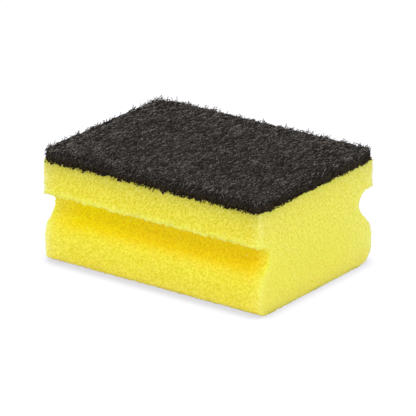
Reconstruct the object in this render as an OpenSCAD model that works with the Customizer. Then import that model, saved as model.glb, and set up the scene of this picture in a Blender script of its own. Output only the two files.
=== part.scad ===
// Cleaning sponge with finger grooves: a cut foam block with a scouring pad glued to its top.
// The origin is at the middle of the foam's base. X runs along the sponge and Z points up.

/* [Foam block] */
// Length of the foam
foam_l = 95; // [60:0.5:140]
// Width of the foam over its upper lips
foam_w = 70; // [50:0.5:100]
// Height of the foam under the pad
foam_h = 39; // [37:0.5:60]
// Radius of the four upright edges, seen from above
upright_r = 0.6; // [0.4:0.1:4]

/* [Finger grooves] */
// Thickness of the front lip, between the pad and the front groove
front_lip_h = 13.6; // [10:0.1:15]
// Thickness of the back lip
back_lip_h = 11; // [8:0.1:12.5]
// Depth of the front groove, inward from its lip
front_groove_depth = 6.4; // [5:0.1:9]
// Depth of the back groove
back_groove_depth = 8.6; // [6:0.1:11]
// Radius of each lip's lower edge
lip_edge_r = 0.5; // [0.3:0.1:2.5]
// Radius of the hollow at the back of each groove
groove_r = 4.4; // [3:0.1:5]
// Fall of each groove's lower wall below the horizontal, in degrees
slope_deg = 45; // [38:1:52]

/* [Lower lobe] */
// How far the lobe's sides stand in from the lips
lobe_inset = 0.4; // [0:0.1:1.5]
// Radius of the shoulder between a groove's lower wall and the lobe's side
shoulder_r = 9; // [6:0.25:10]
// Radius of the roll between the lobe's front side and the base
front_base_r = 3.5; // [2:0.25:6.5]
// Radius of the roll between the lobe's back side and the base
back_base_r = 7; // [3:0.25:8]

/* [Scouring pad] */
// Height of the pad at its tallest fibres
pad_h = 4.2; // [3:0.1:12]
// How far the pad's cut edge stands in from the foam's sides
pad_inset = 0.1; // [0.1:0.1:3]
// Radius of the pad's corners, seen from above
pad_corner_r = 2.5; // [2:0.25:10]
// How far the pad's upper edge falls away
edge_fall = 0.4; // [0.2:0.1:1.5]
// How far the cut edge wanders in from its line
edge_wander = 0.5; // [0:0.05:1]

/* [Matted fibres] */
// Depth of the valleys between the ridges of matted fibre
mat_depth = 0.8; // [0.2:0.05:1.5]
// Distance between neighbouring ridges
ridge_pitch = 3.6; // [2.4:0.1:8]
// Share of the relief that comes from loose fibre ends and not from the ridges
loose_share = 0.5; // [0:0.05:1]
// Size of the patches in which the ridges run one way
tuft_size = 6.5; // [4:0.25:20]
// Distance between neighbouring points of the pad's upper face
mesh_pitch = 1.35; // [1.2:0.05:3]

/* [Hidden] */
$fn = 96;
foam_yellow = [0.93, 0.87, 0.27];
web_black = [0.16, 0.15, 0.14];
// Extra length of a blank that another shape cuts to size
spare = 4;
// Seeds that fix each tuft's lie and ridges, the loose ends and the cut edge
lie_seed = 11;
phase_seed = 23;
loose_seed = 29;
edge_seed = 37;

// Outward normal of a groove's lower wall, in the section's half at positive Y
wall_normal = [sin(slope_deg), cos(slope_deg)];
lobe_y = foam_w / 2 - lobe_inset;
shoulder_y = lobe_y - shoulder_r;

// The pad's plan and the grid of points over it
pad_l = foam_l - 2 * pad_inset;
pad_w = foam_w - 2 * pad_inset;
pad_core = [pad_l / 2 - pad_corner_r, pad_w / 2 - pad_corner_r];
cells_x = round(pad_l / mesh_pitch);
cells_y = round(pad_w / mesh_pitch);
points_across = cells_y + 1;
grid_points = (cells_x + 1) * points_across;
ring_points = 2 * (cells_x + cells_y);
// How far down the pad's side its widest line lies, as a share of the side
belly_share = 0.5;

// Each tuft's lie in degrees and its ridges' phase, on a grid one tuft wider than the pad
tufts_x = ceil(pad_l / tuft_size) + 2;
tufts_y = ceil(pad_w / tuft_size) + 2;
tuft_lie = rands(0, 180, tufts_x * tufts_y, lie_seed);
tuft_phase = rands(0, 360, tufts_x * tufts_y, phase_seed);
loose_noise = rands(0, 1, grid_points, loose_seed);
edge_noise = rands(0, 1, 3 * ring_points, edge_seed);

// The foam

// One quarter of a disc, in the quadrant of positive Y and the given side of Z
module quarter_disc(radius, up) {
    intersection() {
        circle(r = radius);
        translate([0, up ? 0 : -radius])
            square(radius);
    }
}

// The lip under the pad, with its lower edge rounded
module lip_half(lip_h) {
    ceiling_z = foam_h - lip_h;
    translate([0, ceiling_z + lip_edge_r])
        square([foam_w / 2, lip_h - lip_edge_r]);
    translate([0, ceiling_z])
        square([foam_w / 2 - lip_edge_r, lip_h]);
    translate([foam_w / 2 - lip_edge_r, ceiling_z + lip_edge_r])
        circle(r = lip_edge_r);
}

// The core beside the groove and the lobe below it, with the hollow cut out
module lobe_half(lip_h, groove_depth, base_r) {
    hollow = [foam_w / 2 - groove_depth + groove_r, foam_h - lip_h - groove_r];
    // Where the lower wall leaves the hollow
    wall_top = hollow - groove_r * wall_normal;
    // Centre of the shoulder that the lower wall and the lobe's side both touch
    shoulder_drop = (shoulder_r + (shoulder_y - wall_top[0]) * wall_normal[0]) / wall_normal[1];
    shoulder = [shoulder_y, wall_top[1] - shoulder_drop];
    difference() {
        polygon([
            [0, 0],
            [lobe_y - base_r, 0],
            [lobe_y - base_r, base_r],
            [lobe_y, base_r],
            [lobe_y, shoulder[1]],
            shoulder,
            shoulder + shoulder_r * wall_normal,
            wall_top,
            hollow,
            [hollow[0], foam_h - lip_edge_r],
            [0, foam_h - lip_edge_r]
        ]);
        translate(hollow)
            circle(r = groove_r);
    }
    translate(shoulder)
        quarter_disc(shoulder_r, true);
    translate([lobe_y - base_r, base_r])
        quarter_disc(base_r, false);
}

// One long side of the section, drawn towards positive Y
module section_half(lip_h, groove_depth, base_r) {
    lip_half(lip_h);
    lobe_half(lip_h, groove_depth, base_r);
}

module foam_section() {
    section_half(back_lip_h, back_groove_depth, back_base_r);
    mirror([1, 0])
        section_half(front_lip_h, front_groove_depth, front_base_r);
}

// The outline of a block with rounded corners
module rounded_plan(length, width, radius) {
    square([length - 2 * radius, width], center = true);
    square([length, width - 2 * radius], center = true);
    for (x = [-1, 1], y = [-1, 1])
        translate([x * (length / 2 - radius), y * (width / 2 - radius)])
            circle(r = radius);
}

module foam_block() {
    color(foam_yellow)
        intersection() {
            rotate([90, 0, 90])
                linear_extrude(height = foam_l + 2 * spare, center = true)
                    foam_section();
            translate([0, 0, -spare])
                linear_extrude(height = foam_h + 2 * spare)
                    rounded_plan(foam_l, foam_w, upright_r);
        }
}

// The pad

// A point of a square patch, moved so that the patch fills a quarter of a disc
function disc_patch(u, v) = [u * sqrt(1 - v * v / 2), v * sqrt(1 - u * u / 2)];

// A grid point moved into the pad's rounded plan. shares run from -1 to 1.
function plan_point(share_x, share_y) =
    let (
        x = abs(share_x) * pad_l / 2,
        y = abs(share_y) * pad_w / 2,
        past = ([x, y] - pad_core) / pad_corner_r,
        in_corner = past[0] > 0 && past[1] > 0,
        moved = in_corner ? pad_core + pad_corner_r * disc_patch(past[0], past[1]) : [x, y]
    )
    [sign(share_x) * moved[0], sign(share_y) * moved[1]];

// The wave of one tuft's ridges at a point, from -1 to 1
function tuft_wave(p, column, line) =
    let (
        tuft = column * tufts_y + line,
        lie = tuft_lie[tuft]
    )
    sin(360 * (p[0] * cos(lie) + p[1] * sin(lie)) / ridge_pitch + tuft_phase[tuft]);

// A share that starts and ends level
function eased(t) = t * t * (3 - 2 * t);

// The height of the matted fibres at a point, from 0 in a valley to 1 on a ridge
function mat_height(p) =
    let (
        u = (p[0] + pad_l / 2) / tuft_size,
        v = (p[1] + pad_w / 2) / tuft_size,
        column = floor(u),
        line = floor(v),
        s = eased(u - column),
        t = eased(v - line),
        low = (1 - s) * tuft_wave(p, column, line) + s * tuft_wave(p, column + 1, line),
        high = (1 - s) * tuft_wave(p, column, line + 1) + s * tuft_wave(p, column + 1, line + 1)
    )
    ((1 - t) * low + t * high + 1) / 2;

// The grid points round the pad's edge, one after another, against the clock from above
function ring_cells() = concat(
    [for (i = [0 : cells_x - 1]) [i, 0]],
    [for (j = [0 : cells_y - 1]) [cells_x, j]],
    [for (i = [cells_x : -1 : 1]) [i, cells_y]],
    [for (j = [cells_y : -1 : 1]) [0, j]]
);

function on_rim(i, j) = i == 0 || j == 0 || i == cells_x || j == cells_y;

function cell_plan(i, j) = plan_point(2 * i / cells_x - 1, 2 * j / cells_y - 1);

// The number of a grid point in the list of points
function grid_index(cell) = cell[0] * points_across + cell[1];

function held(value, limit) = max(-limit, min(limit, value));

// The way out of the pad at a point of its rim
function rim_normal(p) =
    let (out = p - [held(p[0], pad_core[0]), held(p[1], pad_core[1])])
    out / norm(out);

// A point of the rim drawn in from its line. level is 0 for the top, 1 for the belly, 2 for the base.
function wandering(p, k, level) =
    p - rim_normal(p) * edge_wander * edge_noise[level * ring_points + k];

// Where the top's rim points go, found by their place in the ring
function rim_place(cell) =
    let (i = cell[0], j = cell[1])
    j == 0 && i < cells_x ? i
    : i == cells_x && j < cells_y ? cells_x + j
    : j == cells_y && i > 0 ? cells_x + cells_y + cells_x - i
    : 2 * cells_x + cells_y + cells_y - j;

function top_point(i, j) =
    let (
        p = cell_plan(i, j),
        rim = on_rim(i, j),
        q = rim ? wandering(p, rim_place([i, j]), 0) : p,
        loose = loose_noise[grid_index([i, j])],
        height = (1 - loose_share) * mat_height(q) + loose_share * loose,
        fall = mat_depth * (1 - height) + (rim ? edge_fall : 0)
    )
    [q[0], q[1], foam_h + pad_h - fall];

function side_point(cell, k, level, z) =
    let (p = wandering(cell_plan(cell[0], cell[1]), k, level))
    [p[0], p[1], z];

// The two triangles of each cell of the top
function top_faces() = [
    for (i = [0 : cells_x - 1], j = [0 : cells_y - 1])
        let (
            a = grid_index([i, j]),
            b = grid_index([i + 1, j]),
            c = grid_index([i + 1, j + 1]),
            d = grid_index([i, j + 1])
        )
        each [[a, d, c], [a, c, b]]
];

// The triangles between two rings of point numbers
function band_faces(upper, lower) = [
    for (k = [0 : ring_points - 1])
        let (n = (k + 1) % ring_points)
        each [[upper[k], upper[n], lower[n]], [upper[k], lower[n], lower[k]]]
];

module scouring_pad() {
    cells = ring_cells();
    belly_z = foam_h + (pad_h - edge_fall - mat_depth) * belly_share;
    top = [for (i = [0 : cells_x], j = [0 : cells_y]) top_point(i, j)];
    belly = [for (k = [0 : ring_points - 1]) side_point(cells[k], k, 1, belly_z)];
    base = [for (k = [0 : ring_points - 1]) side_point(cells[k], k, 2, foam_h)];
    rim_ring = [for (cell = cells) grid_index(cell)];
    belly_ring = [for (k = [0 : ring_points - 1]) grid_points + k];
    base_ring = [for (k = [0 : ring_points - 1]) grid_points + ring_points + k];
    color(web_black)
        polyhedron(
            points = concat(top, belly, base),
            faces = concat(
                top_faces(),
                band_faces(rim_ring, belly_ring),
                band_faces(belly_ring, base_ring),
                [base_ring]
            )
        );
}

foam_block();
scouring_pad();
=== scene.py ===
import math

import bmesh
import bpy
from bpy.props import (
    FloatProperty,
    FloatVectorProperty,
    IntProperty,
    PointerProperty,
)
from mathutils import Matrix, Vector


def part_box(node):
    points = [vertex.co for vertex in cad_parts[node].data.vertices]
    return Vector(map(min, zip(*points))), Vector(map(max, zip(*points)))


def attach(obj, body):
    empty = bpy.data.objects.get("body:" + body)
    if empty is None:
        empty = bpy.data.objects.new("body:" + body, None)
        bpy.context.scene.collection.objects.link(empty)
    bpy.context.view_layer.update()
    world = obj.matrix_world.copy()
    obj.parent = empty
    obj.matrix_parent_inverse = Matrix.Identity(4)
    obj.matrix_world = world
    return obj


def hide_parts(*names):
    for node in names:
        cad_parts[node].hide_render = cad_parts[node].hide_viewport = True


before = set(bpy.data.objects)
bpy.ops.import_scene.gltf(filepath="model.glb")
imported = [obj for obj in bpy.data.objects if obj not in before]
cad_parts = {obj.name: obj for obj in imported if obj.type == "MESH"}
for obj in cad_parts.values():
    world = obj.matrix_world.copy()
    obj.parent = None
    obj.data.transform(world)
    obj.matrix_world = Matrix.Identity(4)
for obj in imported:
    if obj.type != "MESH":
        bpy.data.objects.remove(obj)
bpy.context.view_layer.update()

bl_info = {
    "name": "Grooved cleaning sponge",
    "version": (1, 0, 0),
    "blender": (4, 5, 0),
    "location": "View3D > Sidebar > Sponge",
    "description": "Dresses a foam sponge and its scouring pad, and sets the studio round them",
    "category": "Object",
}

# The whole CAD box, kept before anything is added to it
FOAM_LOW, FOAM_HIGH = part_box("foam_block")
PAD_LOW, PAD_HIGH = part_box("scouring_pad")
BODY = "root"
MM = 0.001

PAD_HALF_X = (PAD_HIGH.x - PAD_LOW.x) / 2
PAD_HALF_Y = (PAD_HIGH.y - PAD_LOW.y) / 2
PAD_CORNER = 2.5 * MM
# How far the pad's upper face has sunk along its back edge and its left end
FAR_SINK = 0.65 * MM

# The camera that was fitted to the photograph
PICTURE_WIDTH_PX = 416
FOCAL_LENGTH_PX = 4027
SENSOR_WIDTH_MM = 36.0
AIM_HEIGHT = 22 * MM
AIM_RIGHT = -0.095 * MM
AIM_UP = -1.779 * MM

# How many times each pattern repeats in a metre
FILMS_PER_METRE = 250.0
PATCHES_PER_METRE = 2200.0
SWIRLS_PER_METRE = 45.0
RIM_WAVES_PER_METRE = 260.0
PAPER_GRAINS_PER_METRE = 300.0


# Settings

def length_setting(name, description, default, low, high):
    return FloatProperty(
        name=name,
        description=description,
        default=default,
        min=low,
        max=high,
        subtype="DISTANCE",
        unit="LENGTH",
        precision=5,
    )


def colour_setting(name, description, default, high=1.0):
    return FloatVectorProperty(
        name=name,
        description=description,
        default=default,
        size=3,
        min=0,
        max=high,
        subtype="COLOR",
    )


def angle_setting(name, description, default):
    return FloatProperty(
        name=name, description=description, default=default, subtype="ANGLE", unit="ROTATION"
    )


def power_setting(name, description, default):
    return FloatProperty(
        name=name, description=description, default=default, min=0, max=500, unit="POWER"
    )


class FoamSettings(bpy.types.PropertyGroup):
    """Sizes and colours of the foam block"""

    skin_step: length_setting(
        "Skin step",
        "Distance between neighbouring points of the foam's skin",
        0.545 * MM, 0.4 * MM, 2 * MM,
    )
    pit_depth: length_setting(
        "Pit depth",
        "Depth of the larger open cells in the skin",
        0.28 * MM, 0, 1 * MM,
    )
    pit_size: length_setting(
        "Pit size",
        "Distance between the larger open cells",
        1.5 * MM, 0.5 * MM, 5 * MM,
    )
    crumb: length_setting(
        "Crumb",
        "Roughness that the cutting wire leaves on the skin",
        0.22 * MM, 0, 1 * MM,
    )
    cell_size: length_setting(
        "Cell size",
        "Distance between the fine cells that the surface shows",
        0.8 * MM, 0.2 * MM, 2 * MM,
    )
    colour: colour_setting(
        "Foam colour",
        "Colour of the foam's struts",
        (0.91, 0.82, 0.06),
    )
    front_lip: length_setting(
        "Front lip",
        "Thickness of the lip above the front groove",
        13.6 * MM, 5 * MM, 20 * MM,
    )
    back_lip: length_setting(
        "Back lip",
        "Thickness of the lip above the back groove",
        11.0 * MM, 5 * MM, 20 * MM,
    )
    # The cells' pattern is the foam's own; their darker inside is painted shade and the paler
    # struts are a painted highlight
    cell_tint: colour_setting(
        "Cell tint",
        "What the foam's colour is multiplied by inside an open cell",
        (0.86, 0.84, 0.30),
    )
    strut_tint: colour_setting(
        "Strut tint",
        "What the foam's colour is multiplied by on the struts between cells",
        (1.10, 1.10, 1.72), 2.0,
    )
    # Painted bounce light: the deeper orange of the finger grooves stands in for light bouncing
    # inside them
    groove_bounce_colour: colour_setting(
        "Groove colour",
        "Deeper colour of the foam inside the finger grooves",
        (1.0, 0.71, 0.0005),
    )
    # Painted sheen: the two ends are painted paler, where they catch more light
    end_sheen_colour: colour_setting(
        "End colour",
        "Paler colour of the two sawn ends",
        (0.95, 0.88, 0.105),
    )
    corner_colour: colour_setting(
        "Corner colour",
        "Paler colour where light comes through the thin upright corners",
        (0.97, 1.0, 0.40),
    )
    lip_colour: colour_setting(
        "Lip colour",
        "Colour of a lip's lower edge, where the cut struts catch the light",
        (1.0, 1.0, 0.16),
    )
    foot_colour: colour_setting(
        "Foot colour",
        "Warmer colour where the foam stands on the floor",
        (0.86, 0.62, 0.11),
    )
    # Painted shade: the foam is painted duller just under the dark pad
    pad_shade_colour: colour_setting(
        "Glue line colour",
        "Duller colour where the dark pad and its glue show through the foam",
        (0.45, 0.42, 0.08),
    )


class WebSettings(bpy.types.PropertyGroup):
    """Sizes and colours of the scouring pad"""

    fibre_count: IntProperty(
        name="Fibres on top",
        description="Number of loose fibres laid over the pad's face",
        default=24500,
        min=100,
        max=30000,
    )
    fringe_count: IntProperty(
        name="Fibres at the edge",
        description="Number of fibres in the cut edge",
        default=4200,
        min=100,
        max=30000,
    )
    fibre_length: length_setting(
        "Fibre length",
        "Length of one loose fibre before it curls",
        3.3 * MM, 2 * MM, 30 * MM,
    )
    fibre_radius: length_setting(
        "Fibre radius",
        "Radius of one fibre",
        0.084 * MM, 0.02 * MM, 0.5 * MM,
    )
    colour: colour_setting(
        "Fibre colour",
        "Colour of the fibres and the grit on them",
        (0.0595, 0.052, 0.0462),
    )
    # Painted shade: the web under the loose fibres is a far darker copy of the fibre colour
    web_shade_colour: colour_setting(
        "Colour of the web below",
        "Colour of the matted web under the loose fibres",
        (0.008, 0.007, 0.0062),
    )


class StudioSettings(bpy.types.PropertyGroup):
    """The camera's place and the strength of the lights"""

    azimuth: angle_setting(
        "Azimuth",
        "Turn of the camera round the sponge, from the front towards the right end",
        math.radians(36.132),
    )
    elevation: angle_setting(
        "Elevation",
        "How far the camera looks down",
        math.radians(20.663),
    )
    distance: FloatProperty(
        name="Distance",
        description="Distance from the camera to the point it looks at",
        default=1.43997,
        subtype="DISTANCE",
        unit="LENGTH",
    )
    sky: FloatProperty(
        name="Sky",
        description="Strength of the even light from all round",
        default=0.76,
        min=0,
        max=2,
    )
    key: power_setting(
        "Key light",
        "Power of the large soft light above the sponge's right end",
        29.6,
    )
    fill: power_setting(
        "Fill light",
        "Power of the low soft light in front of the sponge's left end",
        8.0,
    )
    floor_lift: FloatProperty(
        name="Floor lift",
        description="How much of the floor's white the camera sees without any shadow",
        default=0.84,
        min=0,
        max=1,
        subtype="FACTOR",
    )


# Meshes

def link(obj):
    bpy.context.scene.collection.objects.link(obj)
    return obj


def merged_copy(node, name):
    """A closed copy of a CAD node's mesh, which comes as loose triangles."""
    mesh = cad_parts[node].data.copy()
    mesh.name = name
    work = bmesh.new()
    work.from_mesh(mesh)
    bmesh.ops.remove_doubles(work, verts=work.verts, dist=1e-6)
    work.to_mesh(mesh)
    work.free()
    mesh.materials.clear()
    return link(bpy.data.objects.new(name, mesh))


def remeshed(obj, step):
    """Gives obj an even skin with points one step apart."""
    remesh = obj.modifiers.new("Skin", "REMESH")
    remesh.mode = "VOXEL"
    remesh.voxel_size = step
    return obj


def baked(obj, name):
    """The object's evaluated shape as a plain mesh, in place of the object and its modifiers."""
    graph = bpy.context.evaluated_depsgraph_get()
    mesh = bpy.data.meshes.new_from_object(
        obj.evaluated_get(graph), preserve_all_data_layers=True, depsgraph=graph
    )
    mesh.name = name
    bpy.data.objects.remove(obj)
    return link(bpy.data.objects.new(name, mesh))


def finish_piece(piece, node):
    for face in piece.data.polygons:
        face.use_smooth = True
    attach(piece, BODY)
    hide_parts(node)


# Nodes

class Net:
    """A node tree, and short words for what the sponge's trees are made of.

    Every value is a number, a colour, a vector or another node's output."""

    def __init__(self, tree):
        self.tree = tree

    def put(self, socket, value):
        if isinstance(value, bpy.types.NodeSocket):
            self.tree.links.new(value, socket)
        else:
            socket.default_value = value

    def add(self, kind, inputs=None, **settings):
        """A new node, with its settings and its inputs."""
        node = self.tree.nodes.new(kind)
        for key, value in settings.items():
            setattr(node, key, value)
        for key, value in (inputs or {}).items():
            self.put(node.inputs[key], value)
        return node

    def finish(self, **outputs):
        """Wires up what the group puts out, and returns the group."""
        for key, value in outputs.items():
            self.put(self.made[key], value)
        return self.tree

    # Numbers

    def maths(self, operation, *values, clamp=False):
        inputs = dict(enumerate(values))
        return self.add("ShaderNodeMath", inputs, operation=operation, use_clamp=clamp).outputs[0]

    def plus(self, first, second):
        return self.maths("ADD", first, second)

    def minus(self, first, second):
        return self.maths("SUBTRACT", first, second)

    def over(self, first, second):
        return self.maths("DIVIDE", first, second)

    def times(self, first, *factors):
        for factor in factors:
            first = self.maths("MULTIPLY", first, factor)
        return first

    def line(self, value, slope, start):
        """value times slope, plus start."""
        return self.maths("MULTIPLY_ADD", value, slope, start)

    def power(self, value, exponent):
        return self.maths("POWER", value, exponent)

    def more(self, first, second):
        """One where the first is more than the second, and otherwise none."""
        return self.maths("GREATER_THAN", first, second)

    def fading(self, distance, reach):
        """One at no distance, and fading away over the reach."""
        return self.maths("EXPONENT", self.times(distance, -1 / reach))

    def ramp(self, value, low, high, start=0.0, end=1.0):
        """value from low to high becomes start to end, and is held at both."""
        return self.add(
            "ShaderNodeMapRange",
            {"Value": value, "From Min": low, "From Max": high, "To Min": start, "To Max": end},
            clamp=True,
        ).outputs["Result"]

    # Vectors and colours

    def split(self, vector):
        return tuple(self.add("ShaderNodeSeparateXYZ", {0: vector}).outputs)

    def join(self, x=0.0, y=0.0, z=0.0):
        return self.add("ShaderNodeCombineXYZ", {"X": x, "Y": y, "Z": z}).outputs[0]

    def vector(self, operation, *values, scale=None):
        inputs = dict(enumerate(values))
        if scale is not None:
            inputs["Scale"] = scale
        node = self.add("ShaderNodeVectorMath", inputs, operation=operation)
        return node.outputs["Value" if operation == "LENGTH" else "Vector"]

    def mix(self, factor, first, second):
        """The first colour, and the second where the factor is one."""
        node = self.add("ShaderNodeMix", data_type="RGBA")
        for name, value in (("Factor", factor), ("A", first), ("B", second)):
            self.put(next(s for s in node.inputs if s.name == name and s.enabled), value)
        return next(s for s in node.outputs if s.enabled)

    # Patterns

    def noise(self, place, scale, detail=2.0, roughness=0.5, w=None):
        inputs = {"Vector": place, "Scale": scale, "Detail": detail, "Roughness": roughness}
        if w is None:
            return self.add("ShaderNodeTexNoise", inputs).outputs
        return self.add("ShaderNodeTexNoise", {**inputs, "W": w}, noise_dimensions="4D").outputs

    def cells(self, place, scale):
        """The distance to the middle of the nearest cell."""
        inputs = {"Vector": place, "Scale": scale, "Randomness": 1.0}
        return self.add("ShaderNodeTexVoronoi", inputs, feature="F1").outputs["Distance"]

    # In a material

    def object_place(self):
        return self.add("ShaderNodeTexCoord").outputs["Object"]

    def attribute(self, name):
        return self.add("ShaderNodeAttribute", attribute_name=name).outputs["Fac"]

    def group(self, group, inputs):
        return self.add("ShaderNodeGroup", inputs, node_tree=group).outputs

    def bump(self, height, strength, distance):
        inputs = {"Height": height, "Strength": strength, "Distance": distance}
        return self.add("ShaderNodeBump", inputs).outputs["Normal"]

    def surface(self, shader):
        self.add("ShaderNodeOutputMaterial", {"Surface": shader.outputs[0]})

    # In a geometry tree

    def position(self):
        return self.add("GeometryNodeInputPosition").outputs[0]

    def stored(self, name):
        node = self.add("GeometryNodeInputNamedAttribute", data_type="FLOAT")
        self.put(node.inputs["Name"], name)
        return node.outputs[0]

    def store(self, geometry, name, value, domain="POINT"):
        inputs = {"Geometry": geometry, "Name": name, "Value": value}
        return self.add(
            "GeometryNodeStoreNamedAttribute", inputs, data_type="FLOAT", domain=domain
        ).outputs["Geometry"]

    def move(self, geometry, offset):
        inputs = {"Geometry": geometry, "Offset": offset}
        return self.add("GeometryNodeSetPosition", inputs).outputs["Geometry"]


def new_group(name, kind, inputs, outputs):
    """A node group, with the names of its inputs and outputs under each type of socket."""
    net = Net(bpy.data.node_groups.new(name, kind))
    for direction, sockets in (("INPUT", inputs), ("OUTPUT", outputs)):
        for socket_type, names in sockets.items():
            for socket_name in names:
                net.tree.interface.new_socket(
                    socket_name, in_out=direction, socket_type="NodeSocket" + socket_type
                )
    net.given = net.add("NodeGroupInput").outputs
    net.made = net.add("NodeGroupOutput").inputs
    return net


def new_shader_group(name, numbers, outputs):
    inputs = {"Vector": ("Vector",), "Float": numbers}
    return new_group(name, "ShaderNodeTree", inputs, {"Float": outputs})


def new_geometry_tree(name, numbers, **others):
    inputs = {"Geometry": ("Geometry",), "Float": numbers, **others}
    return new_group(name, "GeometryNodeTree", inputs, {"Geometry": ("Geometry",)})


def run_tree(obj, tree, values, name):
    """Gives obj the tree with these inputs, and returns the result as a plain mesh object."""
    modifier = obj.modifiers.new(tree.name, "NODES")
    modifier.node_group = tree
    sockets = {s.name: s.identifier for s in tree.interface.items_tree if s.in_out == "INPUT"}
    for key, value in values.items():
        modifier[sockets[key]] = value
    return baked(obj, name)


def new_material(name):
    material = bpy.data.materials.new(name)
    material.use_nodes = True
    material.node_tree.nodes.clear()
    return material, Net(material.node_tree)


def opaque(colour, tint=(1.0, 1.0, 1.0)):
    return (*(c * k for c, k in zip(colour, tint)), 1.0)


def shaded(colour, factor):
    return (*(min(1.0, c * factor) for c in colour), 1.0)


# The foam block

def open_cells_group():
    """Fine open cells: a mask of the cells, a height for bump and a slow mottle."""
    net = new_shader_group(
        "Open cells", ("Cell Size", "Mottle Size"), ("Cells", "Height", "Mottle")
    )
    place, size = net.given["Vector"], net.given["Cell Size"]
    frequency = net.over(1.0, size)
    warp = net.noise(place, frequency, roughness=0.6)["Color"]
    warped = net.vector("MULTIPLY_ADD", warp, net.join(size, size, size), place)
    openness = net.ramp(net.cells(warped, frequency), 0.15, 0.65, 1.0, 0.0)
    # Finer cells between the larger ones
    grain = net.noise(place, net.times(frequency, 1.15), roughness=0.6)["Fac"]
    fine = net.ramp(grain, 0.34, 0.66, 1.0, 0.0)
    mask = net.plus(net.times(openness, 0.3), net.times(fine, 0.7))
    mottle = net.noise(place, net.over(1.0, net.given["Mottle Size"]))["Fac"]
    return net.finish(
        Cells=mask,
        Height=net.minus(1.0, mask),
        Mottle=net.ramp(mottle, 0.3, 0.7),
    )


def foam_material(settings):
    material, net = new_material("Open cell foam")
    place = net.object_place()
    cells = net.group(
        open_cells_group(),
        {"Vector": place, "Cell Size": settings.cell_size, "Mottle Size": 11 * MM},
    )
    colour = net.mix(
        cells["Mottle"], opaque(settings.colour), opaque(settings.colour, (0.98, 0.97, 0.9))
    )
    for zone, share, zone_colour in (
        # painted sheen on the two ends
        ("end", 1.0, settings.end_sheen_colour),
        ("corner", 1.0, settings.corner_colour),
        ("foot", 0.6, settings.foot_colour),
        # painted bounce light inside the finger grooves
        ("groove", 0.93, settings.groove_bounce_colour),
        # painted shade just under the dark pad
        ("glue", 0.75, settings.pad_shade_colour),
        ("lip", 0.7, settings.lip_colour),
    ):
        colour = net.mix(net.times(net.attribute(zone), share), colour, opaque(zone_colour))
    x, _, z = net.split(place)
    # Painted light: towards the left end the grooves are paler
    painted_left_light = net.times(net.attribute("groove"), net.ramp(x, -45 * MM, 0.0, 0.9, 0.0))
    colour = net.mix(painted_left_light, colour, opaque(settings.groove_bounce_colour, (1.0, 1.14, 1.0)))
    # The cells stand out more on the long sides than on the ends, and most of all under the pad
    contrast = net.ramp(z, 15 * MM, 26 * MM, 1.3, 1.8)
    contrast = net.line(net.attribute("end"), -0.6, contrast)
    contrast = net.line(net.attribute("lip"), -0.8, contrast)
    # Painted shade inside the open cells and a painted highlight on the struts between them
    centred = net.minus(cells["Cells"], 0.5)
    share = net.maths("MULTIPLY_ADD", centred, contrast, 0.5, clamp=True)
    grain = net.mix(share, opaque(settings.strut_tint), opaque(settings.cell_tint))
    colour = net.vector("MULTIPLY", colour, grain)
    # Here and there a cell's film is whole and catches the light
    films = net.ramp(net.cells(place, FILMS_PER_METRE), 0.035, 0.055, 0.8, 0.0)
    colour = net.mix(films, colour, (0.95, 0.92, 0.6, 1))
    net.surface(net.add(
        "ShaderNodeBsdfPrincipled",
        {
            "Base Color": colour,
            "Normal": net.bump(cells["Height"], 0.8, 0.3 * MM),
            "Roughness": 0.88,
            "Specular IOR Level": 0.1,
            "Subsurface Weight": 0.85,
            "Subsurface Radius": (0.6, 0.42, 0.08),
            "Subsurface Scale": 8 * MM,
            "Sheen Weight": 0.03,
            "Sheen Roughness": 0.5,
            "Sheen Tint": (1.0, 0.98, 0.86, 1.0),
        },
        subsurface_method="RANDOM_WALK",
    ))
    return material


def skin_tree():
    """Moves a skin along its normals: pits of the larger cells, and crumb from the cut."""
    net = new_geometry_tree("Open skin", ("Pit Depth", "Pit Size", "Crumb", "Crumb Size"))
    given, here = net.given, net.position()
    pits = net.cells(here, net.over(1.0, given["Pit Size"]))
    depth = net.times(net.ramp(pits, 0.12, 0.5, -1.0, 0.0), given["Pit Depth"])
    crumb = net.noise(here, net.over(1.0, given["Crumb Size"]), roughness=0.7)["Fac"]
    # The cut is roughest along the lips
    rough = net.times(
        net.ramp(crumb, 0.3, 0.7, -1.0, 0.6),
        given["Crumb"],
        net.line(net.stored("lip"), 4.0, 1.0),
    )
    normal = net.add("GeometryNodeInputNormal").outputs[0]
    raised = net.vector("SCALE", normal, scale=net.plus(depth, rough))
    return net.finish(Geometry=net.move(given["Geometry"], raised))


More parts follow.
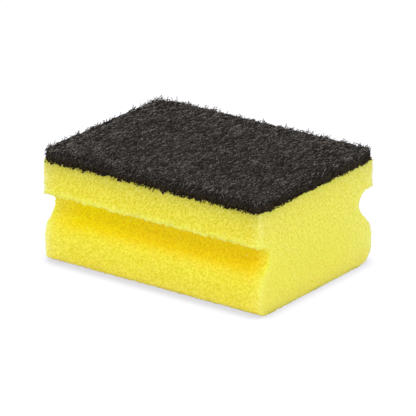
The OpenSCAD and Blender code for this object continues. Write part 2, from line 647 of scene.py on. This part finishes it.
def foam_zones_tree():
    """Stores how deep in a groove, how near a corner, an end, the pad, a lip's edge or the floor
    the foam is."""
    net = new_geometry_tree("Foam zones", ("Half X", "Half Y", "Top", "Front Lip", "Back Lip"))
    given = net.given
    x, y, z = net.split(net.position())
    from_end = net.minus(given["Half X"], net.maths("ABSOLUTE", x))
    from_side = net.minus(given["Half Y"], net.maths("ABSOLUTE", y))
    below = net.minus(given["Top"], z)
    at_back = net.more(y, 0.0)
    lip_more = net.minus(given["Back Lip"], given["Front Lip"])
    below_lip = net.minus(below, net.line(at_back, lip_more, given["Front Lip"]))

    # The grooves' painted bounce light fades in over a longer way from the left end
    left = net.more(0.0, x)
    inward = net.over(from_end, net.line(left, 1.2, 1.0))
    groove = net.times(
        net.ramp(from_side, 0.2 * MM, 3.6 * MM),
        net.ramp(inward, 0.8 * MM, 6.0 * MM),
        net.ramp(below_lip, -0.3 * MM, 0.1 * MM),
        net.ramp(below, 24.0 * MM, 30.0 * MM, 1.0, 0.0),
    )
    # The upright edges are palest, most of all those that stand against the light behind the sponge
    near = net.times(net.more(x, 0.0), net.more(0.0, y))
    edge = 1.9 * MM
    corner = net.times(
        net.fading(from_end, edge),
        net.fading(from_side, edge),
        net.line(near, -0.7, 1.0),
    )
    # Painted sheen: how far the paler paint on the two ends reaches
    end = net.ramp(from_end, 0.1 * MM, 1.2 * MM, 1.0, 0.0)
    pale_end = net.times(net.fading(from_side, 9 * MM), at_back, end, 0.35)
    lip = net.times(
        net.ramp(below_lip, -3.2 * MM, -0.3 * MM),
        net.ramp(below_lip, 0.0, 0.6 * MM, 1.0, 0.0),
        net.ramp(from_side, 0.2 * MM, 1.2 * MM, 1.0, 0.0),
        net.ramp(from_end, 0.2 * MM, 3.0 * MM, 0.3, 1.0),
    )
    foam = given["Geometry"]
    for zone, share in (
        ("groove", groove),
        ("corner", net.maths("MAXIMUM", corner, pale_end)),
        ("end", end),
        # painted shade just under the dark pad, less on the ends
        ("glue", net.times(net.fading(below, 4.8 * MM), net.line(end, -0.4, 1.0))),
        ("lip", lip),
        ("foot", net.fading(z, 3.5 * MM)),
    ):
        foam = net.store(foam, zone, share)
    return net.finish(Geometry=foam)


class SPONGE_OT_foam_block(bpy.types.Operator):
    """Makes the foam block's open-celled skin"""

    bl_idname = "sponge.foam_block"
    bl_label = "Foam block"

    def execute(self, context):
        settings = context.scene.sponge_foam
        block = remeshed(merged_copy("foam_block", "foam_block_skin"), settings.skin_step)
        soften = block.modifiers.new("Soften", "SMOOTH")
        soften.factor = 0.5
        soften.iterations = 3
        block = run_tree(
            block,
            foam_zones_tree(),
            {
                "Half X": (FOAM_HIGH.x - FOAM_LOW.x) / 2,
                "Half Y": (FOAM_HIGH.y - FOAM_LOW.y) / 2,
                "Top": FOAM_HIGH.z,
                "Front Lip": settings.front_lip,
                "Back Lip": settings.back_lip,
            },
            "foam_block_zones",
        )
        piece = run_tree(
            block,
            skin_tree(),
            {
                "Pit Depth": settings.pit_depth,
                "Pit Size": settings.pit_size,
                "Crumb": settings.crumb,
                "Crumb Size": 1.1 * MM,
            },
            "foam_block_skin",
        )
        piece.data.materials.append(foam_material(settings))
        finish_piece(piece, "foam_block")
        return {"FINISHED"}


# The scouring pad

def grit_group():
    """Abrasive grit on a fibre: a mask of the grains and a height for bump."""
    net = new_shader_group("Grit", ("Grain Size",), ("Grains", "Height"))
    frequency = net.over(1.0, net.given["Grain Size"])
    grains = net.noise(net.given["Vector"], frequency, detail=3.0, roughness=0.7)["Fac"]
    return net.finish(Grains=net.ramp(grains, 0.45, 0.7), Height=grains)


def fibre_material(name, colour, grit, roughness, bump_strength, own_shade):
    """grit is how much paler than the colour the grains are; own_shade lets each fibre differ,
    paints shade on the fibres that lie lower and paints light towards the back and the left end.
    """
    material, net = new_material(name)
    place = net.object_place()
    fine = net.group(
        bpy.data.node_groups.get("Grit") or grit_group(), {"Vector": place, "Grain Size": 0.25 * MM}
    )
    # Drawn out the way that most of the fibres lie
    along = net.vector("MULTIPLY", place, (1.0, 0.38, 1.0))
    patches = net.noise(along, PATCHES_PER_METRE, detail=1.0, roughness=0.7)["Fac"]
    light = net.ramp(patches, 0.45, 0.59)
    x, y, z = net.split(place)
    if own_shade:
        number = net.maths("FRACT", net.times(net.attribute("fibre"), 5.73))
        light = net.times(net.power(number, 3.0), net.line(light, 2.0, 0.15))
        # Painted shade on the fibres that lie lower in the pad, and painted light towards the back
        # and the left end, where the fibres are looser and catch more light
        inward = net.maths("MINIMUM", net.minus(PAD_HIGH.y, y), net.minus(x, PAD_LOW.x))
        height = net.line(net.attribute("lift"), 0.8, 0.2)
        light = net.times(light, net.times(height, net.ramp(inward, 0.0, 24 * MM, 1.45, 0.97)))
    shade = net.mix(light, shaded(colour, 0.1), shaded(colour, 6.0))
    if not own_shade:
        # Painted bounce light: the cut sides are warmer towards the bottom, with yellow from the
        # foam below
        low = net.ramp(z, PAD_LOW.z, PAD_HIGH.z - 1.0 * MM, 0.8, 0.1)
        shade = net.mix(low, shade, (0.034, 0.024, 0.012, 1))
    shade = net.mix(net.times(fine["Grains"], 0.5), shade, shaded(colour, 1 + grit))
    net.surface(net.add(
        "ShaderNodeBsdfPrincipled",
        {
            "Base Color": shade,
            "Normal": net.bump(fine["Height"], bump_strength, 0.1 * MM),
            "Roughness": net.ramp(fine["Grains"], 0.0, 1.0, roughness, roughness - 0.15),
            "Specular IOR Level": 0.06,
        },
    ))
    return material


def rounded_ring(inset, z, corner_steps=8):
    """The pad's outline, drawn in by inset, as points against the clock from above."""
    centre = (PAD_LOW + PAD_HIGH) / 2
    half_x = PAD_HALF_X - inset
    half_y = PAD_HALF_Y - inset
    radius = max(PAD_CORNER - inset, 0.2 * MM)
    points = []
    for quarter, (sx, sy) in enumerate(((1, 1), (-1, 1), (-1, -1), (1, -1))):
        for step in range(corner_steps + 1):
            angle = math.radians(90) * (quarter + step / corner_steps)
            points.append(Vector((
                centre.x + sx * (half_x - radius) + radius * math.cos(angle),
                centre.y + sy * (half_y - radius) + radius * math.sin(angle),
                z,
            )))
    return points


def emitter(name, rings, far=None):
    """A flat sheet that fibres grow from: filled if there is one ring, or the band between two.

    The band runs all round, or along the frayed back and left end (far) or the other two sides
    (not far)."""
    work = bmesh.new()
    loops = [[work.verts.new(p) for p in ring] for ring in rings]
    if len(loops) == 1:
        work.faces.new(loops[0])
    else:
        outer, inner = loops
        for k in range(len(outer)):
            n = (k + 1) % len(outer)
            middle = (outer[k].co + outer[n].co) / 2
            at_far = middle.y > PAD_HIGH.y - 5 * MM or middle.x < PAD_LOW.x + 5 * MM
            if far is None or at_far == far:
                work.faces.new((outer[k], outer[n], inner[n], inner[k]))
    mesh = bpy.data.meshes.new(name)
    work.to_mesh(mesh)
    work.free()
    return link(bpy.data.objects.new(name, mesh))


def outside_distance(net, x, y, half_x, half_y, radius):
    """How far a point lies outside the pad's rounded plan, below zero inside it."""
    over_x = net.minus(net.maths("ABSOLUTE", x), net.minus(half_x, radius))
    over_y = net.minus(net.maths("ABSOLUTE", y), net.minus(half_y, radius))
    past_x = net.maths("MAXIMUM", over_x, 0.0)
    past_y = net.maths("MAXIMUM", over_y, 0.0)
    corner = net.maths("SQRT", net.plus(net.times(past_x, past_x), net.times(past_y, past_y)))
    inner = net.maths("MINIMUM", net.maths("MAXIMUM", over_x, over_y), 0.0)
    return net.minus(net.plus(corner, inner), radius)


def far_sinking(net, x, y):
    """How far the pad has sunk: most along its back edge and its left end, least 2.2 mm in from
    them, and more at the worn corner where they meet."""
    back = net.minus(net.given["Half Y"], y)
    left = net.plus(net.given["Half X"], x)
    edge = net.ramp(net.maths("MINIMUM", back, left), 0.0, 2.2 * MM, 1.0, 0.0)
    worn = net.ramp(net.plus(back, left), 1.0 * MM, 9.0 * MM, 1.2, 0.0)
    return net.times(net.plus(edge, worn), net.given["Far Sink"])


def fibre_tree():
    """Lays curled fibres at random over a sheet, and trims them to the pad's outline."""
    net = new_geometry_tree(
        "Loose fibres",
        (
            "Density", "Length", "Radius", "Curl", "Curl Size", "Crimp", "Crimp Size",
            "Low", "High", "Tilt Low", "Tilt High", "Lie", "Spread", "Swirl", "Rise",
            "Half X", "Half Y", "Corner", "Overhang", "Droop", "Sheet Z", "Follow",
            "Rim Drop", "Right End", "Heave", "Heave Size", "Far Sink",
        ),
        Int=("Points", "Seed"),
        Material=("Material",),
        Object=("Ground",),
    )
    given, here = net.given, net.position()

    def chance(low, high, offset):
        """A random number of its own for each fibre."""
        inputs = {2: low, 3: high, "Seed": net.plus(given["Seed"], offset)}
        return net.add("FunctionNodeRandomValue", inputs, data_type="FLOAT").outputs[1]

    # Each fibre lies at its own height in the pad
    points = net.add("GeometryNodeDistributePointsOnFaces", {
        "Mesh": given["Geometry"], "Density": given["Density"], "Seed": given["Seed"],
    }).outputs["Points"]
    level = chance(0.0, 1.0, 1)
    height = net.line(level, net.minus(given["High"], given["Low"]), given["Low"])
    swell = net.noise(here, net.over(1.0, given["Heave Size"]))["Fac"]
    swell = net.ramp(swell, 0.3, 0.7, -1.0, 1.0)
    points = net.move(points, net.join(z=net.line(swell, given["Heave"], height)))

    half = net.times(given["Length"], 0.5)
    line = net.add(
        "GeometryNodeCurvePrimitiveLine",
        {"Start": net.join(x=net.times(half, -1.0)), "End": net.join(x=half)},
        mode="POINTS",
    )
    strand = net.add(
        "GeometryNodeResampleCurve", {"Curve": line.outputs[0], "Count": given["Points"]}
    )
    # Most fibres lie near one direction, which wanders slowly over the pad, and some lie across it
    slow = net.noise(here, SWIRLS_PER_METRE, detail=1.0)["Fac"]
    swirl = net.times(net.minus(slow, 0.5), given["Swirl"])
    lean = net.power(chance(0.0, 1.0, 3), 2.0)
    side = net.maths("SIGN", chance(-1.0, 1.0, 6))
    across = net.times(lean, side, given["Spread"])
    heading = net.plus(net.plus(given["Lie"], swirl), across)
    strands = net.add("GeometryNodeInstanceOnPoints", {
        "Points": points,
        "Instance": strand.outputs["Curve"],
        "Rotation": net.join(y=chance(given["Tilt Low"], given["Tilt High"], 2), z=heading),
        "Scale": chance(0.55, 1.15, 4),
    }).outputs[0]
    # A number of its own for each fibre, so that neighbours curl differently
    strands = net.store(strands, "fibre", chance(0.0, 40.0, 5), "INSTANCE")
    strands = net.store(strands, "lift", level, "INSTANCE")
    strands = net.add("GeometryNodeRealizeInstances", {"Geometry": strands}).outputs[0]
    number = net.stored("fibre")

    def own(factor):
        """A number from none to one that is the same all along a fibre."""
        return net.maths("FRACT", net.times(number, factor))

    def waver(amount, wave, offset):
        noise = net.noise(here, net.over(1.0, wave), detail=0.0, w=net.plus(number, offset))
        centred = net.vector("SUBTRACT", noise["Color"], (0.5, 0.5, 0.5))
        return net.vector("SCALE", centred, scale=net.times(amount, 4.0))

    bent = net.vector(
        "ADD",
        waver(given["Curl"], given["Curl Size"], 0.0),
        waver(given["Crimp"], given["Crimp Size"], 97.0),
    )
    # A few fibres stand proud of the rest
    rise = net.times(net.line(net.power(own(9.17), 6.0), 2.6, 0.7), given["Rise"])
    strands = net.move(strands, net.vector("MULTIPLY", bent, net.join(1.0, 1.0, rise)))

    # The fibres follow the ridges and valleys of the pad's solid
    ground = net.add(
        "GeometryNodeObjectInfo", {"Object": given["Ground"]}, transform_space="ORIGINAL"
    )
    ray = net.add("GeometryNodeRaycast", {
        "Target Geometry": ground.outputs["Geometry"],
        "Source Position": net.vector("ADD", here, (0.0, 0.0, 50 * MM)),
        "Ray Direction": (0.0, 0.0, -1.0),
        "Ray Length": 200 * MM,
    }).outputs
    relief = net.minus(net.split(ray["Hit Position"])[2], given["Sheet Z"])
    held = net.times(relief, ray["Is Hit"])
    missed = net.times(net.minus(1.0, ray["Is Hit"]), given["Rim Drop"])
    settled = net.times(net.minus(held, missed), given["Follow"])
    strands = net.move(strands, net.join(z=settled))

    # What reaches past the cut edge by more than its own overhang is cut off
    x, y, _ = net.split(here)
    past = outside_distance(net, x, y, given["Half X"], given["Half Y"], given["Corner"])
    limit = net.times(net.power(own(7.31), 1.3), given["Overhang"])
    # The right end is cut cleaner than the rest
    at_right = net.more(x, net.minus(given["Half X"], 1.0 * MM))
    limit = net.times(limit, net.line(at_right, net.minus(given["Right End"], 1.0), 1.0))
    strands = net.add(
        "GeometryNodeDeleteGeometry",
        {"Geometry": strands, "Selection": net.more(past, limit)},
        domain="POINT",
    ).outputs[0]
    # Near the edge the fibres sink, and what reaches past it hangs down over it
    near = net.maths("MAXIMUM", net.plus(past, 1.2 * MM), 0.0)
    sag = net.times(net.times(near, near), net.times(given["Droop"], -0.35 / MM))
    strands = net.move(strands, net.join(z=net.minus(sag, far_sinking(net, x, y))))

    # A few fibres are thick bundles, and most are thin
    thick = net.add("GeometryNodeSetCurveRadius", {
        "Curve": strands, "Radius": net.line(net.power(own(3.37), 3.0), 1.2, 0.7),
    })
    ring = net.add(
        "GeometryNodeCurvePrimitiveCircle", {"Resolution": 3, "Radius": given["Radius"]}
    )
    tubes = net.add("GeometryNodeCurveToMesh", {
        "Curve": thick.outputs["Curve"], "Profile Curve": ring.outputs[0], "Fill Caps": True,
    })
    solid = net.add("GeometryNodeRealizeInstances", {"Geometry": tubes.outputs[0]})
    painted = net.add(
        "GeometryNodeSetMaterial", {"Geometry": solid.outputs[0], "Material": given["Material"]}
    )
    return net.finish(Geometry=painted.outputs[0])


def rim_tree():
    """Presses the web's lower rim out and down over the foam's edge, more in some places than in
    others."""
    net = new_geometry_tree(
        "Web rim", ("Half X", "Half Y", "Corner", "Base", "Out", "Down", "Far Sink")
    )
    given, here = net.given, net.position()
    x, y, z = net.split(here)
    core = []
    for along, half in ((x, given["Half X"]), (y, given["Half Y"])):
        limit = net.minus(half, given["Corner"])
        inner = net.maths("MINIMUM", along, limit)
        core.append(net.maths("MAXIMUM", inner, net.times(limit, -1.0)))
    past = net.vector("SUBTRACT", here, net.join(*core, z))
    to_rim = net.minus(given["Corner"], net.vector("LENGTH", past))
    above = net.minus(z, given["Base"])
    wave = net.noise(here, RIM_WAVES_PER_METRE, detail=3.0, roughness=0.7)["Fac"]
    share = net.times(
        net.ramp(to_rim, 0.4 * MM, 1.6 * MM, 1.0, 0.0),
        net.ramp(above, 0.8 * MM, 3.0 * MM, 1.0, 0.0),
        net.ramp(wave, 0.3, 0.7, 0.4, 1.6),
    )
    out = net.vector("SCALE", net.vector("NORMALIZE", past), scale=net.times(share, given["Out"]))
    # Less of it hangs down at the right end
    right = net.ramp(net.minus(given["Half X"], x), 0.5 * MM, 3.0 * MM, -0.6, -1.1)
    drop = net.times(share, net.times(given["Down"], right))
    sunk = net.times(far_sinking(net, x, y), net.ramp(above, 1.5 * MM, 3.5 * MM))
    moved = net.vector("ADD", out, net.join(z=net.minus(drop, sunk)))
    return net.finish(Geometry=net.move(given["Geometry"], moved))


class SPONGE_OT_web(bpy.types.Operator):
    """Makes the matted body of the scouring pad"""

    bl_idname = "sponge.web"
    bl_label = "Matted web"

    def execute(self, context):
        settings = context.scene.sponge_web
        web = run_tree(
            remeshed(merged_copy("scouring_pad", "scouring_pad_web"), 0.7 * MM),
            rim_tree(),
            {
                "Half X": PAD_HALF_X,
                "Half Y": PAD_HALF_Y,
                "Corner": PAD_CORNER,
                "Base": PAD_LOW.z,
                "Out": 0.35 * MM,
                "Down": 1.3 * MM,
                "Far Sink": FAR_SINK,
            },
            "scouring_pad_rim",
        )
        piece = run_tree(
            web,
            bpy.data.node_groups.get("Open skin") or skin_tree(),
            {
                "Pit Depth": 0.5 * MM,
                "Pit Size": 1.6 * MM,
                "Crumb": 0.35 * MM,
                "Crumb Size": 1.3 * MM,
            },
            "scouring_pad_web",
        )
        # the web below the fibres is painted in shade
        piece.data.materials.append(
            fibre_material("Matted web", settings.web_shade_colour, 0.8, 0.8, 0.8, own_shade=False)
        )
        finish_piece(piece, "scouring_pad")
        return {"FINISHED"}


def grow_fibres(sheet, name, settings, ground, **changes):
    """Makes a piece of the fibres that grow from a sheet, which is used up."""
    values = {
        "Length": settings.fibre_length,
        "Radius": settings.fibre_radius,
        "Curl": 0.22 * MM,
        "Curl Size": 2.2 * MM,
        "Crimp": 0.07 * MM,
        "Crimp Size": 1.3 * MM,
        "Low": -0.65 * MM,
        "High": 0.15 * MM,
        "Tilt Low": math.radians(-9),
        "Tilt High": math.radians(9),
        "Lie": math.radians(88),
        "Spread": math.radians(30),
        "Swirl": math.radians(25),
        "Rise": 0.35,
        "Half X": PAD_HALF_X,
        "Half Y": PAD_HALF_Y,
        "Corner": PAD_CORNER,
        "Overhang": 0.35 * MM,
        "Droop": 0.3,
        "Sheet Z": PAD_HIGH.z,
        "Follow": 0.3,
        "Rim Drop": 1.3 * MM,
        "Right End": 0.5,
        "Heave": 0.1 * MM,
        "Heave Size": 6.0 * MM,
        "Far Sink": FAR_SINK,
        "Points": 4,
        "Ground": ground,
        **changes,
    }
    tree = bpy.data.node_groups.get("Loose fibres") or fibre_tree()
    piece = run_tree(sheet, tree, values, name)
    finish_piece(piece, "scouring_pad")


class SPONGE_OT_fibres(bpy.types.Operator):
    """Lays the loose fibres over the scouring pad and in its cut edge"""

    bl_idname = "sponge.fibres"
    bl_label = "Loose fibres"

    def execute(self, context):
        settings = context.scene.sponge_web
        # The cut edge and the rim over the foam get darker, browner copies of the fibre colour: the
        # darkening is painted shade
        fibre, cut, rim = (
            fibre_material(name, colour, 0.9, roughness, 0.4, own_shade=True)
            for name, colour, roughness in (
                ("Abrasive fibre", settings.colour, 0.5),
                ("Cut fibre", opaque(settings.colour, (0.728, 0.65, 0.5525))[:3], 0.6),
                ("Rim fibre", opaque(settings.colour, (0.425, 0.34, 0.204))[:3], 0.7),
            )
        )
        ground = merged_copy("scouring_pad", "pad_relief")
        width, depth = (PAD_HIGH - PAD_LOW).xy
        layers = 3
        for layer in range(layers):
            grow_fibres(
                emitter(f"sheet_{layer}", [rounded_ring(0.0, PAD_HIGH.z)]),
                f"scouring_pad_fibres_{layer + 1}",
                settings,
                ground,
                Density=settings.fibre_count / layers / (width * depth),
                Seed=11 + layer,
                Material=fibre,
            )
        mid_z = (PAD_LOW.z + PAD_HIGH.z) / 2
        for name, far, band, share, changes in (
            ("scouring_pad_fringe", None, 3.0 * MM, 0.5, {
                "Length": 1.1 * settings.fibre_length,
                "Low": -1.0 * MM,
                "High": 1.6 * MM,
                "Right End": 0.3,
                "Tilt Low": math.radians(-12),
                "Tilt High": math.radians(12),
                "Overhang": 0.8 * MM,
                "Droop": 0.6,
                "Points": 6,
                "Seed": 31,
                "Material": fibre,
            }),
            ("scouring_pad_nap", False, 2.0 * MM, 0.55, {
                "Length": 1.05 * settings.fibre_length,
                "Radius": 1.4 * settings.fibre_radius,
                "Low": 0.1 * MM,
                "High": 1.7 * MM,
                "Right End": 0.1,
                "Heave": 0.6 * MM,
                "Tilt Low": math.radians(-45),
                "Tilt High": math.radians(-5),
                "Spread": math.radians(60),
                "Overhang": 1.5 * MM,
                "Droop": 0.0,
                "Seed": 83,
                "Material": fibre,
            }),
            ("scouring_pad_bristle", True, 2.0 * MM, 0.75, {
                "Length": 0.95 * settings.fibre_length,
                "Radius": 1.4 * settings.fibre_radius,
                "Low": -0.2 * MM,
                "High": 2.2 * MM,
                "Right End": 0.1,
                "Heave": 0.9 * MM,
                "Heave Size": 2.2 * MM,
                "Tilt Low": math.radians(-70),
                "Tilt High": math.radians(20),
                "Spread": math.radians(110),
                "Overhang": 1.6 * MM,
                "Droop": 0.0,
                "Seed": 61,
                "Material": cut,
            }),
            ("scouring_pad_drape", None, 1.0 * MM, 0.8, {
                "Length": 0.8 * settings.fibre_length,
                "Radius": 1.9 * settings.fibre_radius,
                "Low": -2.4 * MM,
                "High": -0.8 * MM,
                "Right End": 0.8,
                "Tilt Low": math.radians(-15),
                "Tilt High": math.radians(15),
                "Overhang": 1.4 * MM,
                "Droop": 0.6,
                "Points": 5,
                "Seed": 47,
                "Material": rim,
            }),
        ):
            values = {
                "Density": share * settings.fringe_count / (2 * (width + depth) * band),
                "Spread": math.radians(45),
                "Follow": 0.0,
                **changes,
            }
            rings = [rounded_ring(0.0, mid_z), rounded_ring(band, mid_z)]
            grow_fibres(emitter(name, rings, far), name, settings, ground, **values)
        bpy.data.objects.remove(ground)
        return {"FINISHED"}


# The studio

def floor_material(lift):
    """White paper. The camera sees it as plain white, less what the sponge hides close by."""
    material, net = new_material("White paper")
    rays = net.add("ShaderNodeLightPath").outputs
    seen = net.maths("ADD", rays["Is Camera Ray"], rays["Is Glossy Ray"], clamp=True)
    seen = net.maths("ADD", seen, rays["Is Transmission Ray"], clamp=True)
    grain = net.noise(net.object_place(), PAPER_GRAINS_PER_METRE)["Fac"]
    paper = net.mix(grain, (0.95, 0.95, 0.95, 1), (0.93, 0.93, 0.93, 1))
    shown = 1.02 - lift
    lit = net.add(
        "ShaderNodeBsdfDiffuse",
        {"Color": net.mix(seen, paper, (0.93 * shown, 0.94 * shown, shown, 1))},
    )
    hidden = net.add("ShaderNodeAmbientOcclusion", {"Distance": 7 * MM}, samples=16).outputs["AO"]
    # Cooler in the shadow, and a plain white just above 1 away from it
    away = net.ramp(hidden, 0.84, 0.92)
    white = net.add("ShaderNodeEmission", {
        "Color": net.mix(away, (0.94, 0.94, 1.0, 1), (0.91, 0.91, 0.935, 1)),
        "Strength": net.times(seen, lift, net.ramp(hidden, 0.48, 0.92, 0.77, 1.13)),
    })
    net.surface(net.add("ShaderNodeAddShader", {0: lit.outputs[0], 1: white.outputs[0]}))
    return material


def white_floor(lift):
    work = bmesh.new()
    bmesh.ops.create_grid(work, x_segments=2, y_segments=2, size=3.0)
    mesh = bpy.data.meshes.new("floor")
    work.to_mesh(mesh)
    work.free()
    mesh.materials.append(floor_material(lift))
    link(bpy.data.objects.new("floor", mesh))


def white_sky(strength):
    """An even light from all round, which the camera sees as plain white."""
    world = bpy.data.worlds.new("Studio")
    world.use_nodes = True
    net = Net(world.node_tree)
    rays = net.add("ShaderNodeLightPath").outputs
    seen = net.maths("ADD", rays["Is Camera Ray"], rays["Is Glossy Ray"], clamp=True)
    background = world.node_tree.nodes["Background"].inputs
    net.put(background["Color"], (1, 1, 1, 1))
    net.put(background["Strength"], net.line(seen, 1.0 - strength, strength))
    return world


def aimed(obj, target):
    """Turns a lamp or the camera at a point, with its top upwards."""
    obj.rotation_euler = (Vector(target) - obj.location).to_track_quat("-Z", "Y").to_euler()
    return obj


def softbox(name, place, size, power):
    lamp = bpy.data.lights.new(name, "AREA")
    lamp.shape = "RECTANGLE"
    lamp.size, lamp.size_y = size
    lamp.energy = power
    obj = link(bpy.data.objects.new(name, lamp))
    obj.location = place
    return aimed(obj, (0.0, 0.0, 0.02))


def fitted_camera(azimuth, elevation, distance):
    back = Vector((
        math.sin(azimuth) * math.cos(elevation),
        -math.cos(azimuth) * math.cos(elevation),
        math.sin(elevation),
    ))
    right = Vector((math.cos(azimuth), math.sin(azimuth), 0.0))
    target = Vector((0, 0, AIM_HEIGHT)) + AIM_RIGHT * right + AIM_UP * back.cross(right)
    lens = bpy.data.cameras.new("camera")
    lens.sensor_width = SENSOR_WIDTH_MM
    lens.lens = FOCAL_LENGTH_PX / PICTURE_WIDTH_PX * SENSOR_WIDTH_MM
    lens.clip_start = 0.01
    lens.clip_end = 20
    camera = link(bpy.data.objects.new("camera", lens))
    camera.location = target + distance * back
    return aimed(camera, target)


class SPONGE_OT_studio(bpy.types.Operator):
    """Sets the floor, the lights and the camera"""

    bl_idname = "sponge.studio"
    bl_label = "Studio"

    def execute(self, context):
        scene = context.scene
        settings = scene.sponge_studio
        scene.view_settings.view_transform = "Standard"
        white_floor(settings.floor_lift)
        scene.world = white_sky(settings.sky)
        softbox("key", (1.8, -1.5, 2.4), (1.8, 1.8), settings.key)
        softbox("fill", (-1.5, -1.9, 0.6), (1.4, 1.0), settings.fill)
        scene.camera = fitted_camera(settings.azimuth, settings.elevation, settings.distance)
        return {"FINISHED"}


class SPONGE_PT_panel(bpy.types.Panel):
    """Lists the sponge's settings and the steps that make it"""

    bl_label = "Sponge"
    bl_idname = "SPONGE_PT_panel"
    bl_space_type = "VIEW_3D"
    bl_region_type = "UI"
    bl_category = "Sponge"

    def draw(self, context):
        groups = (
            ("Foam", context.scene.sponge_foam, ("sponge.foam_block",)),
            ("Scouring pad", context.scene.sponge_web, ("sponge.web", "sponge.fibres")),
            ("Studio", context.scene.sponge_studio, ("sponge.studio",)),
        )
        for title, settings, steps in groups:
            box = self.layout.box()
            box.label(text=title)
            for key in settings.__annotations__:
                box.prop(settings, key)
            for step in steps:
                box.operator(step)


CLASSES = (
    FoamSettings,
    WebSettings,
    StudioSettings,
    SPONGE_OT_foam_block,
    SPONGE_OT_web,
    SPONGE_OT_fibres,
    SPONGE_OT_studio,
    SPONGE_PT_panel,
)


def register():
    for cls in CLASSES:
        bpy.utils.register_class(cls)
    bpy.types.Scene.sponge_foam = PointerProperty(type=FoamSettings)
    bpy.types.Scene.sponge_web = PointerProperty(type=WebSettings)
    bpy.types.Scene.sponge_studio = PointerProperty(type=StudioSettings)


def unregister():
    del bpy.types.Scene.sponge_studio
    del bpy.types.Scene.sponge_web
    del bpy.types.Scene.sponge_foam
    for cls in reversed(CLASSES):
        bpy.utils.unregister_class(cls)


def main():
    register()
    bpy.ops.sponge.studio()
    bpy.ops.sponge.foam_block()
    bpy.ops.sponge.web()
    bpy.ops.sponge.fibres()


if __name__ == "__main__":
    main()
